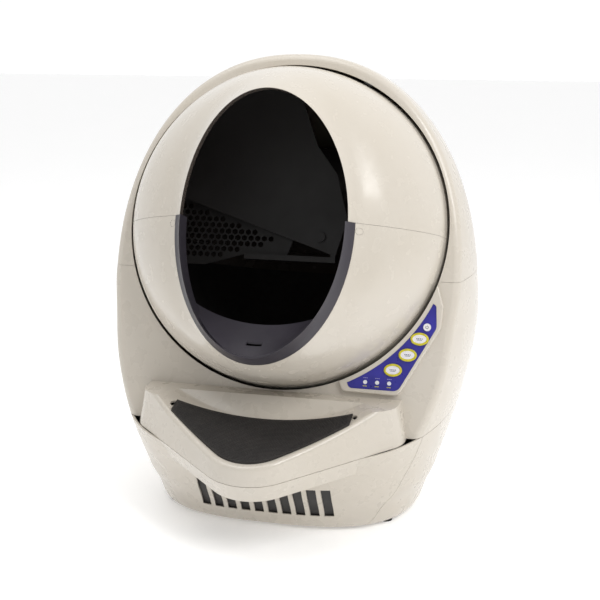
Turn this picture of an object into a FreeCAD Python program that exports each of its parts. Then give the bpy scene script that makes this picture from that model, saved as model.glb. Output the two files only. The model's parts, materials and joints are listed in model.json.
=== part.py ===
import FreeCAD, Part
import math
import os
import Sketcher
from FreeCAD import Matrix, Placement, Rotation, Vector

# Self-cleaning cat litter box: a tilted globe turns inside an egg-shaped body made of a
# lower base, an upper base with the entry step, and a lift-off bonnet.  The waste drawer
# slides out of the front, under the step.
# Millimetres.  +Z is up, the entry faces -Y, and the origin is on the floor under the
# middle of the whole object.

os.makedirs("parts", exist_ok=True)
doc = FreeCAD.newDocument("litter_box")

# ---------------------------------------------------------------- driving dimensions

DIMENSIONS = {
    # body
    "body_half_width": 304.5,      # at its widest level
    "body_widest_z": 314,
    "body_top_z": 738,
    "body_foot_half_width": 218,   # where the flanks meet the floor
    "body_centre_y": 10,           # middle of the round plan
    "body_rear_reach": 333,        # from that middle to the rearmost point
    "body_crown_power": 2.25,      # roundness of the bonnet's outline, 2 is an ellipse
    "body_flank_power": 1.5,       # roundness of the base's flanks
    "plan_squareness": 0.9,        # added to 2 in the plan's outline at floor level
    "plan_front_swell": 0.06,      # extra forward reach halfway down the base
    "plan_front_tuck": 24,         # how far the front stands back near the floor
    "wall": 3,
    "foot_clearance": 4,           # height of the base's underside
    "floor_round": 6,              # rounding of the underside's edge
    "bonnet_seam_z": 397,
    "seam_gap": 0.4,
    "split_front_z": 133,          # split between the two base halves, at the very front
    "split_slope_deg": 9.76,       # it rises towards the rear
    "drawer_face_y": -158,         # where the drawer front meets the lower base
    "drawer_gap": 1.2,
    "ring_round": 13,              # rounding between the ring face and the flanks
    # ring opening and globe
    "tilt_deg": 18,
    "ring_centre_y": -69.4,
    "ring_centre_z": 470.7,
    "ring_opening_radius": 263.5,
    "globe_ring_radius": 257.5,
    "globe_radius": 268,
    "globe_wall": 3,
    "globe_split_up": -8,          # the globe halves meet just under the axis
    "globe_gap": 0.4,
    "port_half_width": 130,
    "port_half_height": 201,
    "port_drop": 17,               # port centre below the axis
    "port_reach": 165,             # from the ring face to the port's edge
    "port_collar_depth": 14,
    "trim_collar_depth": 32,
    "trim_width": 9,
    "trim_proud": 2,
    "sill_half_width": 187,
    "sill_half_height": 148,
    "sill_reach": 100,             # ring face to the top of the litter sill
    "dump_port_radius": 80,
    "dump_port_lean_deg": 30,
    "liner_thickness": 3,
    "liner_top_up": -45,
    "screen_pitch": 11.5,
    "screen_web": 3,
    "plug_radius": 5,
    "plug_side": 145,
    "plug_up": -20,
    # drive
    "gear_module": 4,
    "track_teeth": 138,
    "pinion_teeth": 13,
    "track_width": 16,
    "track_flange_radius": 274,
    "track_flange_width": 12,
    "track_flange_gap": 3,
    "pinion_angle_deg": -38,
    "pinion_width": 14,
    "shaft_radius": 4,
    "running_clearance": 0.05,
    "roller_radius": 14,
    "roller_width": 10,
    "roller_angle_deg": -55,
    "roller_gap": 0.3,
    "axle_radius": 3,
    "motor_radius": 23,
    "motor_length": 62,
    # step and drawer front
    "step_nose_y": -343,
    "step_nose_radius": 88,
    "step_flank_deg": 40,
    "step_half_width": 217.5,
    "step_corner_radius": 34,
    "step_rake": 13,               # the step's rim leans in by this much
    "band_height": 31,             # drawer front under the split line
    "band_rake": 10,
    "step_crease_y": -178,
    "step_crease_z": 219,
    "tread_z": 230.5,              # tread height extrapolated to y = 0 on the middle line
    "tread_slope_deg": 11.3,
    "tread_dish_radius": 500,
    "step_lip_round": 6,
    "mat_thickness": 3.2,
    "mat_inset": 17,
    "mat_half_width": 141,
    "mat_back_y": -211,
    # drawer
    "tray_half_width": 145,
    "tray_back_y": 172,
    "tray_bottom_z": 8.5,
    "tray_top_z": 127,             # low enough for the bag frame to pass under the nose
    "tray_wall": 2.5,
    "vent_count": 10,
    "vent_pitch": 22.5,
    "vent_width": 15,
    "vent_bottom_z": 30,
    "vent_top_z": 88,
    "deck_z": 157,
    "deck_thickness": 3,
    # control panel
    "panel_height": 8,
    "overlay_radius": 271,
    "overlay_thickness": 2,
    "overlay_depth": 1,            # overlay face below the bezel's rim
    "button_travel": 1.5,
    "button_proud": 2.2,
    "button_clearance": 0.3,
    # feet
    "foot_radius": 11,
    "foot_inset_x": 179,
    "foot_front_y": -115,
    "foot_rear_y": 150,
}

sheet = doc.addObject("Spreadsheet::Sheet", "Dims")
for row, (alias, value) in enumerate(DIMENSIONS.items(), start=1):
    sheet.set(f"A{row}", alias.replace("_", " "))
    sheet.set(f"B{row}", str(value))
    sheet.setAlias(f"B{row}", alias)
doc.recompute()


def dim(alias):
    return float(sheet.get(alias))


FIT = 0.3                          # clearance between pieces that seat on each other
FAR = 900.0                        # half-size of the blocks that stand for half-spaces
WALL = dim("wall")
TILT = math.radians(dim("tilt_deg"))
CENTRE_Y = dim("body_centre_y")

# Local frame of the ring opening: x, up and out (towards the cat) from the ring's centre.
RING = Placement(
    Vector(0, dim("ring_centre_y"), dim("ring_centre_z")),
    Rotation(Vector(1, 0, 0), 90 - dim("tilt_deg")),
)
# Local frame of the split between the base halves: x, back along the slope, and away.
SPLIT = Placement(
    Vector(0, dim("step_nose_y"), dim("split_front_z")),
    Rotation(Vector(1, 0, 0), dim("split_slope_deg")),
)
GLOBE_BACK = math.sqrt(dim("globe_radius") ** 2 - dim("globe_ring_radius") ** 2)

nodes = []


def node(obj):
    """Marks an object as a sub-part that is written to a file of its own."""
    nodes.append(obj)
    return obj


def shape_part(label, shape, place=None):
    obj = doc.addObject("Part::Feature", label)
    obj.Label = label
    obj.Shape = shape
    if place is not None:
        obj.Placement = place.multiply(shape.Placement)
    return obj


def primitive(kind, label, place=None, **sizes):
    """A Part primitive whose sizes are expressions of the sheet's cells."""
    obj = doc.addObject("Part::" + kind, label)
    obj.Label = label
    for prop, expression in sizes.items():
        obj.setExpression(prop, expression)
    if place is not None:
        obj.Placement = place
    return obj


def cut(label, base, tool):
    obj = doc.addObject("Part::Cut", label)
    obj.Label = label
    obj.Base = base
    obj.Tool = tool
    return obj


def fuse(label, *shapes):
    obj = doc.addObject("Part::MultiFuse", label)
    obj.Label = label
    obj.Shapes = list(shapes)
    return obj


def at(x, y, z):
    return Placement(Vector(x, y, z), Rotation())


def in_ring(x, up, out, turn=0):
    """A placement in the ring's frame, turned about its axis."""
    return RING.multiply(Placement(Vector(x, up, out), Rotation(Vector(0, 0, 1), turn)))


def placed(shape, place):
    result = shape.copy()
    result.Placement = place.multiply(result.Placement)
    return result


def moved(shape, x, y, z):
    result = shape.copy()
    result.translate(Vector(x, y, z))
    return result


def block(x0, y0, z0, x1, y1, z1):
    return Part.makeBox(x1 - x0, y1 - y0, z1 - z0, Vector(x0, y0, z0))


def slab(frame, low, high):
    """Everything between two planes across a frame's own Z axis."""
    return placed(block(-FAR, -FAR, low, FAR, FAR, high), frame)


def level(low, high):
    return block(-FAR, -FAR, low, FAR, FAR, high)


# ---------------------------------------------------------------- the body's outer form

def half_width(z):
    """Half-width of the body at a height: curved flanks below, a domed crown above."""
    widest = dim("body_half_width")
    belt = dim("body_widest_z")
    if z <= belt:
        drop = ((belt - z) / belt) ** dim("body_flank_power")
        return widest - (widest - dim("body_foot_half_width")) * drop
    power = dim("body_crown_power")
    rise = (z - belt) / (dim("body_top_z") - belt)
    return widest * (1 - rise ** power) ** (1 / power)


TUCK_DEPTH = 0.75                  # the tuck is full from this share of the way down


def body_outline(z, inset):
    """The body's plan outline at a height, as one smooth closed wire."""
    belt = dim("body_widest_z")
    depth = max(0.0, (belt - z) / belt)
    power = 2 + dim("plan_squareness") * depth
    swell = 1 + dim("plan_front_swell") * math.sin(math.pi * depth)
    side = half_width(z) - inset
    tuck = dim("plan_front_tuck") * min(1.0, depth / TUCK_DEPTH) ** 3
    front = half_width(z) * swell - tuck - inset
    rear = half_width(z) * dim("body_rear_reach") / dim("body_half_width") - inset
    points = []
    count = 40
    for step in range(count):
        angle = math.pi / 2 + 2 * math.pi * step / count
        c = math.cos(angle)
        s = math.sin(angle)
        radius = (abs(c) ** power + abs(s) ** power) ** (-1 / power)
        reach = rear if s > 0 else front
        points.append(Vector(side * radius * c, CENTRE_Y + reach * radius * s, z))
    curve = Part.BSplineCurve()
    curve.interpolate(Points=points, PeriodicFlag=True)
    return Part.Wire(curve.toShape())


def base_form(inset, bottom):
    """Solid form of the two base halves, from the underside to the bonnet seam."""
    top = dim("bonnet_seam_z")
    belt = dim("body_widest_z")
    round_height = dim("floor_round")
    wires = [body_outline(bottom, inset + round_height),
             body_outline(bottom + 0.3 * round_height, inset + 0.3 * round_height)]
    start = bottom + round_height
    heights = [start + (belt - start) * step / 7 for step in range(8)]
    heights += [belt + (top - belt) * step / 2 for step in (1, 2)]
    wires += [body_outline(z, inset) for z in heights]
    return Part.makeLoft(wires, True, False)


def bonnet_form(inset, bottom):
    """Solid form of the bonnet: half a turned dome in front, a stretched half behind."""
    belt = dim("body_widest_z")
    top = dim("body_top_z") - inset
    power = dim("body_crown_power")
    widest = dim("body_half_width") - inset
    rise0 = (bottom - belt) / (top - belt)
    start = math.asin(rise0 ** (power / 2))
    points = []
    count = 12
    for step in range(count + 1):
        angle = start + (math.pi / 2 - start) * step / count
        radius = widest * max(0.0, math.cos(angle)) ** (2 / power)
        height = belt + (top - belt) * math.sin(angle) ** (2 / power)
        points.append(Vector(radius, 0, height))
    points[-1] = Vector(0, 0, top)
    outline = Part.BSplineCurve()
    outline.interpolate(Points=points)
    axis_line = Part.makeLine(points[-1], Vector(0, 0, bottom))
    foot_line = Part.makeLine(Vector(0, 0, bottom), points[0])
    face = Part.Face(Part.Wire([outline.toShape(), axis_line, foot_line]))
    front = face.revolve(Vector(), Vector(0, 0, 1), -180)
    rear = face.revolve(Vector(), Vector(0, 0, 1), 180)
    stretch = Matrix()
    stretch.A22 = (dim("body_rear_reach") - inset) / widest
    whole = front.fuse(rear.transformGeometry(stretch)).removeSplitter()
    whole.translate(Vector(0, CENTRE_Y, 0))
    return whole


def rounded_front(form, out, radius):
    """Cuts a form off at the ring face and rounds the edge that this leaves."""
    trimmed = form.common(slab(RING, -FAR, out))
    inverse = RING.inverse()
    rim = []
    for edge in trimmed.Edges:
        ends = [inverse.multVec(vertex.Point).z for vertex in edge.Vertexes]
        middle = inverse.multVec(edge.CenterOfMass).z
        if all(abs(end - out) < 0.01 for end in ends + [middle]):
            rim.append(edge)
    return trimmed.makeFillet(radius, [edge for edge in rim if edge.Curve.TypeId != "Part::GeomLine"])


# ---------------------------------------------------------------- step and drawer band

def step_outline(inset, height):
    """Plan outline of the step in the split's frame: a nose, two flanks, two corners."""
    nose = dim("step_nose_radius")
    slope = math.radians(dim("step_flank_deg"))
    along = Vector(math.cos(slope), math.sin(slope), 0)
    outward = Vector(math.sin(slope), -math.cos(slope), 0)
    side = dim("step_half_width") - inset
    nose_end = Vector(0, nose, 0) + outward * (nose - inset)
    corner = nose_end + along * ((side - nose_end.x) / along.x)
    bend = math.pi / 2 - slope
    radius = dim("step_corner_radius")
    arc_start = corner - along * radius * math.tan(bend / 2)
    arc_end = corner + Vector(0, radius * math.tan(bend / 2), 0)
    arc_centre = Vector(side - radius, arc_end.y, 0)
    half = slope / 2 - math.pi / 4
    arc_middle = arc_centre + Vector(math.cos(half), math.sin(half), 0) * radius
    back = 260.0
    right = [nose_end, arc_start, arc_middle, arc_end, Vector(side, back, 0)]
    left = [Vector(-point.x, point.y, 0) for point in right]
    edges = [
        Part.Arc(left[0], Vector(0, inset, 0), right[0]).toShape(),
        Part.makeLine(right[0], right[1]),
        Part.Arc(right[1], right[2], right[3]).toShape(),
        Part.makeLine(right[3], right[4]),
        Part.makeLine(right[4], left[4]),
        Part.makeLine(left[4], left[3]),
        Part.Arc(left[3], left[2], left[1]).toShape(),
        Part.makeLine(left[1], left[0]),
    ]
    wire = Part.Wire(edges)
    wire.translate(Vector(0, 0, height))
    return wire


def tread_cylinder(offset):
    """The dished tread as a long cylinder, raised by an offset."""
    slope = math.radians(dim("tread_slope_deg"))
    along = Vector(0, math.cos(slope), math.sin(slope))
    away = Vector(0, -math.sin(slope), math.cos(slope))
    radius = dim("tread_dish_radius")
    start = Vector(0, 0, dim("tread_z")) + away * (radius + offset) - along * FAR
    return Part.makeCylinder(radius, 2 * FAR, start, along)


def step_form(inset, floor):
    """The step above the split line, with its dished tread and the slope behind it."""
    rake = dim("step_rake") / 60
    top = 110.0
    wires = [
        step_outline(inset + rake * floor, floor),
        step_outline(inset + rake * top, top),
    ]
    solid = placed(Part.makeLoft(wires, True, True), SPLIT)
    solid = solid.common(level(0, dim("step_crease_z") - inset))
    crease = Placement(
        Vector(0, dim("step_crease_y"), dim("step_crease_z") - inset * math.sqrt(2)),
        Rotation(Vector(1, 0, 0), 45),
    )
    ahead = placed(block(-FAR, -FAR, 0, FAR, FAR, FAR), crease)
    return solid.cut(tread_cylinder(-inset).common(ahead))


def rim_edges(shape, offset):
    """Edges of the tread's surface that also lie on the step's outer walls."""
    slope = math.radians(dim("tread_slope_deg"))
    away = Vector(0, -math.sin(slope), math.cos(slope))
    axis_point = Vector(0, 0, dim("tread_z")) + away * (dim("tread_dish_radius") + offset)
    found = []
    for edge in shape.Edges:
        points = edge.discretize(5)
        radii = []
        for point in points:
            away_part = (point - axis_point).dot(away)
            radii.append(math.hypot(point.x, away_part))
        if all(abs(radius - dim("tread_dish_radius")) < 0.05 for radius in radii):
            found.append(edge)
    return found


def rounded_step():
    solid = step_form(0, dim("seam_gap"))
    return solid.makeFillet(dim("step_lip_round"), rim_edges(solid, 0))


def band_form(inset):
    """The drawer front's grip band, just under the split line."""
    top = -dim("seam_gap") - inset
    bottom = -dim("band_height") + inset
    rake = dim("band_rake") / dim("band_height")
    wires = [
        step_outline(inset - rake * bottom, bottom),
        step_outline(inset - rake * top, top),
    ]
    return placed(Part.makeLoft(wires, True, True), SPLIT)


# ---------------------------------------------------------------- body shells

floor_z = dim("foot_clearance")
below_split = slab(SPLIT, -FAR, -dim("seam_gap"))
above_split = slab(SPLIT, dim("seam_gap"), FAR)
ring_hole = placed(
    Part.makeCylinder(dim("ring_opening_radius"), 260, Vector(0, 0, -40)), RING)
behind_face = block(-FAR, dim("drawer_face_y"), 0, FAR, FAR, FAR)
ahead_of_face = block(-FAR, -FAR, 0, FAR, dim("drawer_face_y") - dim("drawer_gap"), FAR)


def base_outer():
    return base_form(0, floor_z)


def base_inner():
    return base_form(WALL, floor_z + WALL)


def make_upper_base():
    outer = rounded_front(base_outer(), 0, dim("ring_round")).common(above_split)
    inner = rounded_front(base_inner(), -WALL, dim("ring_round") - WALL)
    shell = outer.fuse(rounded_step()).cut(inner)
    shell = shell.cut(step_form(WALL, dim("seam_gap") + WALL))
    for side in (-1, 1):
        shell = shell.cut(finger_notch(side))
    return shell.cut(ring_hole)


def finger_notch(side):
    """A shallow round recess past a back corner of the mat, for a finger to lift it by."""
    x = side * (dim("mat_half_width") + 0.5)
    y = dim("mat_back_y") - NOTCH_RADIUS
    return Part.makeCylinder(NOTCH_RADIUS, 30, Vector(x, y, NOTCH_FLOOR_Z))


NOTCH_RADIUS = 8.0
NOTCH_FLOOR_Z = 205.5


INLET_X = 60.0
INLET_Z = 62.0
INLET_RADIUS = 7.0


def inlet_cylinder(radius, length, proud):
    """A cylinder along Y at the power inlet, ending a little outside the rear wall."""
    stretch = dim("body_rear_reach") / dim("body_half_width")
    end = CENTRE_Y + half_width(INLET_Z) * stretch + proud
    return Part.makeCylinder(radius, length, Vector(INLET_X, end - length, INLET_Z), Vector(0, 1, 0))


def make_lower_base():
    shell = base_outer().common(below_split).common(behind_face).cut(base_inner())
    shell = shell.cut(inlet_cylinder(INLET_RADIUS + FIT, 60, 20))
    rail_top = dim("tray_bottom_z") - dim("roller_gap")
    for side in (-1, 1):
        middle = side * 0.8 * dim("tray_half_width")
        rail = block(middle - 2, dim("drawer_face_y") + 4, floor_z + WALL - 0.5,
                     middle + 2, dim("tray_back_y"), rail_top)
        shell = shell.fuse(rail)
    return shell.removeSplitter()


def make_bonnet():
    seam = dim("bonnet_seam_z") + dim("seam_gap")
    outer = rounded_front(bonnet_form(0, seam), 0, dim("ring_round"))
    inner = rounded_front(bonnet_form(WALL, seam), -WALL, dim("ring_round") - WALL)
    return outer.cut(inner).cut(ring_hole)


def make_drawer_front():
    outer = base_outer().common(below_split).common(ahead_of_face)
    band = band_form(0).common(ahead_of_face)
    space = band_form(WALL)
    shell = outer.fuse(band).cut(base_inner()).cut([space, moved(space, 0, 0, 2 * WALL)])
    for index in range(int(dim("vent_count"))):
        middle = (index - (dim("vent_count") - 1) / 2) * dim("vent_pitch")
        half = dim("vent_width") / 2
        shell = shell.cut(block(middle - half, -FAR, dim("vent_bottom_z"),
                                middle + half, dim("drawer_face_y") - 22, dim("vent_top_z")))
    return shell.removeSplitter()


LATCH_Y = 40.0
LATCH_LENGTH = 16.0
LATCH_HEIGHT = 7.0


def latch_block(side, clearance):
    reach = half_width(dim("bonnet_seam_z")) + 20
    low = dim("bonnet_seam_z") + dim("seam_gap") / 2
    shape = block(min(side * 200, side * reach), LATCH_Y - clearance, low,
                  max(side * 200, side * reach), LATCH_Y + LATCH_LENGTH + clearance,
                  low + LATCH_HEIGHT + clearance)
    return shape


bonnet_shape = make_bonnet()
latch_zone = bonnet_form(0, dim("bonnet_seam_z")).cut(bonnet_form(WALL, dim("bonnet_seam_z")))
for side, word in ((-1, "left"), (1, "right")):
    bonnet_shape = bonnet_shape.cut(latch_block(side, dim("button_clearance")))
    node(shape_part(f"bonnet_latch_{word}", latch_zone.common(latch_block(side, 0))))

node(shape_part("upper_base", make_upper_base()))
node(shape_part("lower_base", make_lower_base()))
node(shape_part("bonnet", bonnet_shape))
node(shape_part("drawer_front", make_drawer_front()))


# ---------------------------------------------------------------- the globe

def ellipse_wire(side, tall, middle, out):
    points = []
    count = 32
    for step in range(count):
        angle = math.pi / 2 + 2 * math.pi * step / count
        points.append(Vector(side * math.cos(angle), middle + tall * math.sin(angle), out))
    curve = Part.BSplineCurve()
    curve.interpolate(Points=points, PeriodicFlag=True)
    return Part.Wire(curve.toShape())


def dome_reach(out, crown, inset):
    """How far the globe's front reaches from its axis, at a distance out of the ring."""
    power = 1.6
    start = dim("globe_ring_radius") - inset
    return start * (1 - (max(0, out) / (crown - inset)) ** power) ** (1 / power)


PORT_SHOULDER = 136                # from here out the dome's sides run almost straight


def dome_form(inset):
    """The globe's front, from the ring to the plane of the port, before the port is cut."""
    wires = []
    for out in (-8, 0, 15, 35, 60, 85, 110, 130, 148, dim("port_reach")):
        side = dome_reach(min(out, PORT_SHOULDER), 178, inset)
        side -= 0.5 * max(0, out - PORT_SHOULDER)
        top = dome_reach(out, 285, inset)
        bottom = dome_reach(out, 409, inset)
        wires.append(ellipse_wire(side, (top + bottom) / 2, (top - bottom) / 2, out))
    return Part.makeLoft(wires, True, False)


def port_prism(grow, low, high):
    """An elliptic block through the port, wider than the port by a margin."""
    side = dim("port_half_width") + grow
    tall = dim("port_half_height") + grow
    ellipse = Part.Ellipse(Vector(0, tall, 0), Vector(side, 0, 0), Vector(0, 0, 0))
    face = Part.Face(Part.Wire(ellipse.toShape()))
    face.translate(Vector(0, -dim("port_drop"), low))
    return face.extrude(Vector(0, 0, high - low))


def dump_direction():
    """From the globe's centre through the middle of the dump port."""
    lean = math.radians(dim("dump_port_lean_deg"))
    return Vector(0, math.cos(lean), -math.sin(lean))


def globe_ball(radius):
    """The globe's round back; its poles lie where the dump port and the dome cut them off."""
    ball = Part.makeSphere(radius, Vector(0, 0, -GLOBE_BACK), dump_direction())
    return ball.common(block(-FAR, -FAR, -FAR, FAR, FAR, 20))


globe_wall = dim("globe_wall")
dome_outer = dome_form(0)
dome_inner = dome_form(globe_wall)
ball_inner_radius = dim("globe_radius") - globe_wall
globe_outer = globe_ball(dim("globe_radius")).fuse(dome_outer)
globe_inner = globe_ball(ball_inner_radius).fuse(dome_inner)
split_up = dim("globe_split_up")
upper_side = block(-FAR, split_up + dim("globe_gap") / 2, -FAR, FAR, FAR, FAR)
lower_side = block(-FAR, -FAR, -FAR, FAR, split_up - dim("globe_gap") / 2, FAR)


def make_globe_upper():
    shell = globe_outer.cut(globe_inner).cut(port_prism(0, 60, 200))
    collar_depth = moved(dome_outer, 0, 0, -dim("port_collar_depth"))
    collar = port_prism(globe_wall, 60, 200).cut(port_prism(0, 60, 200))
    collar = collar.common(dome_outer).cut(collar_depth)
    dump = Part.makeCylinder(
        dim("dump_port_radius"), 320, Vector(0, 0, -GLOBE_BACK), dump_direction())
    return shell.fuse(collar).common(upper_side).cut(dump)


def plug_hole(radius, side):
    return Part.makeCylinder(
        radius, 60, Vector(side * dim("plug_side"), dim("plug_up"), 100))


def make_globe_lower():
    shell = globe_outer.cut(globe_inner).common(lower_side)
    shell = shell.cut(port_prism(dim("trim_width") + FIT, 60, 200))
    for side in (-1, 1):
        shell = shell.cut(plug_hole(dim("plug_radius") + FIT, side))
    return shell


def make_port_trim():
    """The dark rim round the lower half of the port and the sill that rises behind it."""
    proud = moved(dome_outer, 0, 0, dim("trim_proud"))
    depth = moved(dome_outer, 0, 0, -dim("trim_collar_depth"))
    rim = port_prism(dim("trim_width"), 60, 200).cut(port_prism(-3, 60, 200))
    rim = rim.common(proud).cut(depth)
    sill = dim("sill_reach")
    reach = dim("port_reach") - 6
    layers = []
    for grow in (0, globe_wall):
        layers.append(Part.makeLoft([
            ellipse_wire(dim("sill_half_width") + grow, dim("sill_half_height") + grow,
                         -dim("port_drop"), sill),
            ellipse_wire(dim("port_half_width") - 3 + grow, dim("port_half_height") - 3 + grow,
                         -dim("port_drop"), reach),
        ], True, True))
    ramp = layers[1].cut(layers[0]).common(dome_form(globe_wall + FIT))
    slot = block(-12, -FAR, sill + 33, 12, 0, sill + 40)
    return rim.fuse(ramp.cut(slot)).common(lower_side)


def make_plugs():
    whole = []
    for side in (-1, 1):
        shell = dome_outer.cut(dome_inner)
        whole.append(plug_hole(dim("plug_radius"), side).common(shell))
    return Part.makeCompound(whole)


def make_liner():
    radius = ball_inner_radius - FIT
    outer = globe_ball(radius)
    inner = Part.makeSphere(radius - dim("liner_thickness"), Vector(0, 0, -GLOBE_BACK))
    zone = block(-FAR, -FAR, -FAR, FAR, dim("liner_top_up"), -2)
    return outer.cut(inner).common(zone)


def plate(points, low, high):
    """A flat plate from an outline in the ring's frame, between two distances out."""
    corners = [Vector(x, up, low) for x, up in points]
    face = Part.Face(Part.makePolygon(corners + corners[:1]))
    return face.extrude(Vector(0, 0, high - low))


PARTITION_OUT = -46.0
PARTITION_WALL = 3.0
SCREEN_OUT = -58.0


def make_septum():
    """The partition that leads the clumps to the dump port, with a ledge along its foot."""
    outline = [(-300, 81), (76, -41), (92, 20), (70, 94), (34, 140), (4, 215), (0, 300),
               (-300, 300)]
    wall = plate(outline, PARTITION_OUT, PARTITION_OUT + PARTITION_WALL)
    ledge = plate([(-78, -52), (76, -52), (76, -43), (-78, -43)], SCREEN_OUT - 4,
                  PARTITION_OUT + PARTITION_WALL)
    post = plate([(68, -45), (76, -45), (76, -30), (68, -30)], PARTITION_OUT - 6,
                 PARTITION_OUT + PARTITION_WALL)
    inside = Part.makeSphere(ball_inner_radius - FIT, Vector(0, 0, -GLOBE_BACK))
    return wall.fuse(ledge).fuse(post).common(inside).removeSplitter()


def make_screen():
    """The sifting screen: a plate full of six-sided holes, under the partition."""
    outline = [(-300, 95), (-300, -62), (-150, -64), (-78, -42.5), (-8, -42.5), (4, -8)]
    sheet_form = plate(outline, SCREEN_OUT, SCREEN_OUT + 2.5)
    inside = Part.makeSphere(
        ball_inner_radius - FIT - dim("liner_thickness") - FIT, Vector(0, 0, -GLOBE_BACK))
    sheet_form = sheet_form.common(inside)
    pitch = dim("screen_pitch")
    hole = (pitch - dim("screen_web")) / math.sqrt(3)
    holes = []
    for row in range(15):
        for column in range(22):
            x = -244 + pitch * column + (row % 2) * pitch / 2
            up = -56 + row * pitch * 0.866
            if up > 73 - 0.325 * (x + 300) or up < -54 + 0.28 * max(0, x + 150):
                continue
            if math.hypot(x, up) > 232:
                continue
            corners = []
            for corner in range(6):
                angle = math.radians(60 * corner + 30)
                corners.append((x + hole * math.cos(angle), up + hole * math.sin(angle)))
            holes.append(plate(corners, SCREEN_OUT - 1, SCREEN_OUT + 4))
    return sheet_form.cut(Part.makeCompound(holes))


# ---------------------------------------------------------------- gears

def involute(angle):
    return math.tan(angle) - angle


def gear_wire(teeth, addendum, slack, turn):
    """Closed outline of an involute gear; turn points one tooth along that angle."""
    module = dim("gear_module")
    pitch = module * teeth / 2
    pressure = math.radians(20)
    base = pitch * math.cos(pressure)
    tip = pitch + addendum * module
    root = pitch - 1.2 * module
    half_pitch = math.pi / (2 * teeth) - slack / pitch
    start = max(base, root)
    flank = []
    if root < base:
        flank.append((root, half_pitch + involute(pressure)))
    for step in range(4):
        radius = start + (tip - start) * step / 3
        at_radius = math.acos(min(1, base / radius))
        flank.append((radius, half_pitch + involute(pressure) - involute(at_radius)))
    points = []
    for tooth in range(teeth):
        middle = turn + 2 * math.pi * tooth / teeth
        for radius, half in flank:
            points.append(Vector(radius * math.cos(middle - half), radius * math.sin(middle - half), 0))
        for radius, half in reversed(flank):
            points.append(Vector(radius * math.cos(middle + half), radius * math.sin(middle + half), 0))
    return Part.makePolygon(points + points[:1])


TOOTH_SLACK = 0.18
track_pitch = dim("gear_module") * dim("track_teeth") / 2
pinion_pitch = dim("gear_module") * dim("pinion_teeth") / 2
drive_distance = track_pitch + pinion_pitch
pinion_angle = math.radians(dim("pinion_angle_deg"))
track_half = dim("track_width") / 2
flange_offset = track_half + dim("track_flange_gap") + 3 + dim("track_flange_width") / 2


def make_track():
    """The toothed ring round the globe's widest line, with a smooth rail on each side."""
    half_step = math.pi / dim("track_teeth")
    face = Part.Face(gear_wire(int(dim("track_teeth")), 0.75, TOOTH_SLACK,
                               pinion_angle + half_step))
    ring = face.extrude(Vector(0, 0, 2 * track_half))
    ring.translate(Vector(0, 0, -GLOBE_BACK - track_half))
    width = flange_offset + dim("track_flange_width") / 2
    core = Part.makeCylinder(track_pitch - 1.2 * dim("gear_module"), 2 * width,
                             Vector(0, 0, -GLOBE_BACK - width))
    rails = []
    for low in (-width, width - dim("track_flange_width")):
        rails.append(Part.makeCylinder(
            dim("track_flange_radius"), dim("track_flange_width"),
            Vector(0, 0, -GLOBE_BACK + low)))
    bore = Part.makeCylinder(dim("globe_radius") + FIT, 2 * width + 2,
                             Vector(0, 0, -GLOBE_BACK - width - 1))
    return ring.fuse([core] + rails).cut(bore)


def lathe_body(label, place, outer, inner, length):
    """A turned disc with a bore: one sketch of two circles, padded."""
    body = doc.addObject("PartDesign::Body", label)
    body.Label = label
    plane = [item for item in body.Origin.OriginFeatures if item.Role == "XY_Plane"][0]
    sketch = body.newObject("Sketcher::SketchObject", label + "_outline")
    sketch.AttachmentSupport = [(plane, "")]
    sketch.MapMode = "FlatFace"
    circles = [("outer", outer)]
    if inner is not None:
        circles.append(("inner", inner))
    for index, (name, expression) in enumerate(circles):
        sketch.addGeometry(Part.Circle(Vector(), Vector(0, 0, 1), 20 - 10 * index))
        sketch.addConstraint(Sketcher.Constraint("Coincident", index, 3, -1, 1))
        constraint = sketch.addConstraint(
            Sketcher.Constraint("Radius", index, 20 - 10 * index))
        sketch.renameConstraint(constraint, name)
        sketch.setExpression("Constraints." + name, expression)
    pad = body.newObject("PartDesign::Pad", label + "_pad")
    pad.Profile = sketch
    pad.Midplane = True
    pad.setExpression("Length", length)
    body.Placement = place
    return body


globe_parts = (
    ("globe_upper", make_globe_upper),
    ("globe_lower", make_globe_lower),
    ("port_trim", make_port_trim),
    ("globe_plugs", make_plugs),
    ("globe_liner", make_liner),
    ("septum", make_septum),
    ("sifting_screen", make_screen),
    ("gear_track", make_track),
)
for label, make in globe_parts:
    node(shape_part(label, make(), RING))

node(primitive(
    "Cylinder", "septum_boss", in_ring(50, -11, PARTITION_OUT + PARTITION_WALL),
    Radius="8", Height="5"))

# Drive: a pinion on the gear motor's shaft turns the track.
pinion_shape = Part.Face(gear_wire(
    int(dim("pinion_teeth")), 0.95, TOOTH_SLACK, pinion_angle + math.pi)).extrude(
        Vector(0, 0, dim("pinion_width")))
pinion_shape.translate(Vector(0, 0, -dim("pinion_width") / 2))
pinion_place = in_ring(
    drive_distance * math.cos(pinion_angle), drive_distance * math.sin(pinion_angle),
    -GLOBE_BACK)
shaft_length = 42.0
pinion_blank = shape_part("pinion_blank", pinion_shape, pinion_place)
pinion_shaft = primitive(
    "Cylinder", "pinion_shaft", pinion_place.multiply(at(0, 0, 7 - shaft_length)),
    Radius="Dims.shaft_radius", Height=str(shaft_length))
node(fuse("drive_gear", pinion_blank, pinion_shaft))

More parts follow.
